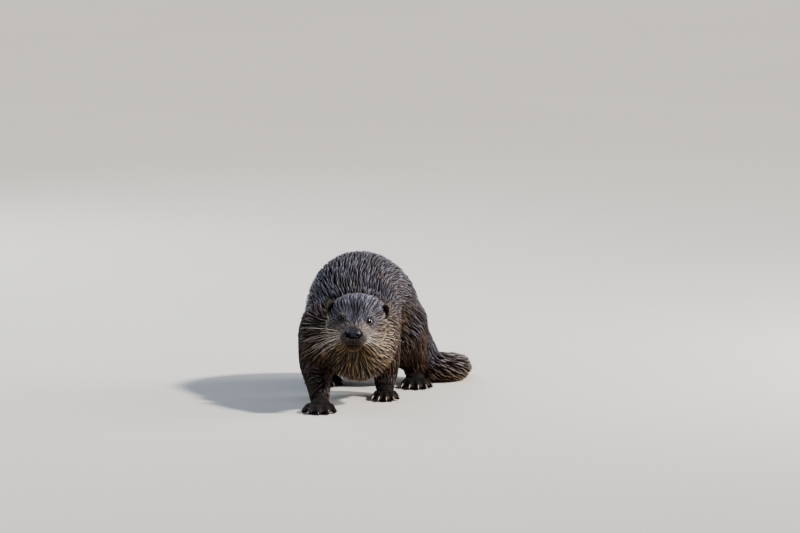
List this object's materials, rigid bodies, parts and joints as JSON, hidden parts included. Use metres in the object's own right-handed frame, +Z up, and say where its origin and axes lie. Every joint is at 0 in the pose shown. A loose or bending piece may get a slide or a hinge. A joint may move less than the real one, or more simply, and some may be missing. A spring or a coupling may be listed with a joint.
{
  "type": "eurasian otter",
  "caption": "Life-size still model of a Eurasian otter standing hunched on all fours, head held low, back arched, tail curling round behind on the floor.",
  "frame": {"origin": "centre of the bounding box's base, on the floor the animal stands on", "axes": "+Z up; the animal faces -Y, so its left side is at +X; +Y runs back along the body to the tail"},
  "size_m": [0.2816, 0.6108, 0.2253],
  "materials": {
    "fur": "dense brown coat, slightly damp, cool sheen on the back and buff on cheeks and throat",
    "paw_skin": "dark short-haired skin, satin",
    "nose_skin": "bare, moist, pebbled",
    "eye": "wet and glossy, dark brown",
    "claw": "pale horn, satin"
  },
  "bodies": {
    "root": {"head": "fur", "neck": "fur", "trunk": "fur", "tail_root": "fur", "tail_middle": "fur", "tail_tip": "fur", "foreleg_right": "fur", "foreleg_left": "fur", "hindleg_left": "fur", "hindleg_right": "fur", "ear_right": "fur", "ear_left": "fur", "forepaw_right": "paw_skin", "forepaw_left": "paw_skin", "hindpaw_left": "paw_skin", "hindpaw_right": "paw_skin", "eye_right": "eye", "eye_left": "eye", "nose_pad": "nose_skin", "claw_forepaw_right_1": "claw", "claw_forepaw_right_2": "claw", "claw_forepaw_right_3": "claw", "claw_forepaw_right_4": "claw", "claw_forepaw_right_5": "claw", "claw_forepaw_left_1": "claw", "claw_forepaw_left_2": "claw", "claw_forepaw_left_3": "claw", "claw_forepaw_left_4": "claw", "claw_forepaw_left_5": "claw", "claw_hindpaw_left_1": "claw", "claw_hindpaw_left_2": "claw", "claw_hindpaw_left_3": "claw", "claw_hindpaw_left_4": "claw", "claw_hindpaw_left_5": "claw", "claw_hindpaw_right_1": "claw", "claw_hindpaw_right_2": "claw", "claw_hindpaw_right_3": "claw", "claw_hindpaw_right_4": "claw", "claw_hindpaw_right_5": "claw"}
  },
  "joints": []
}
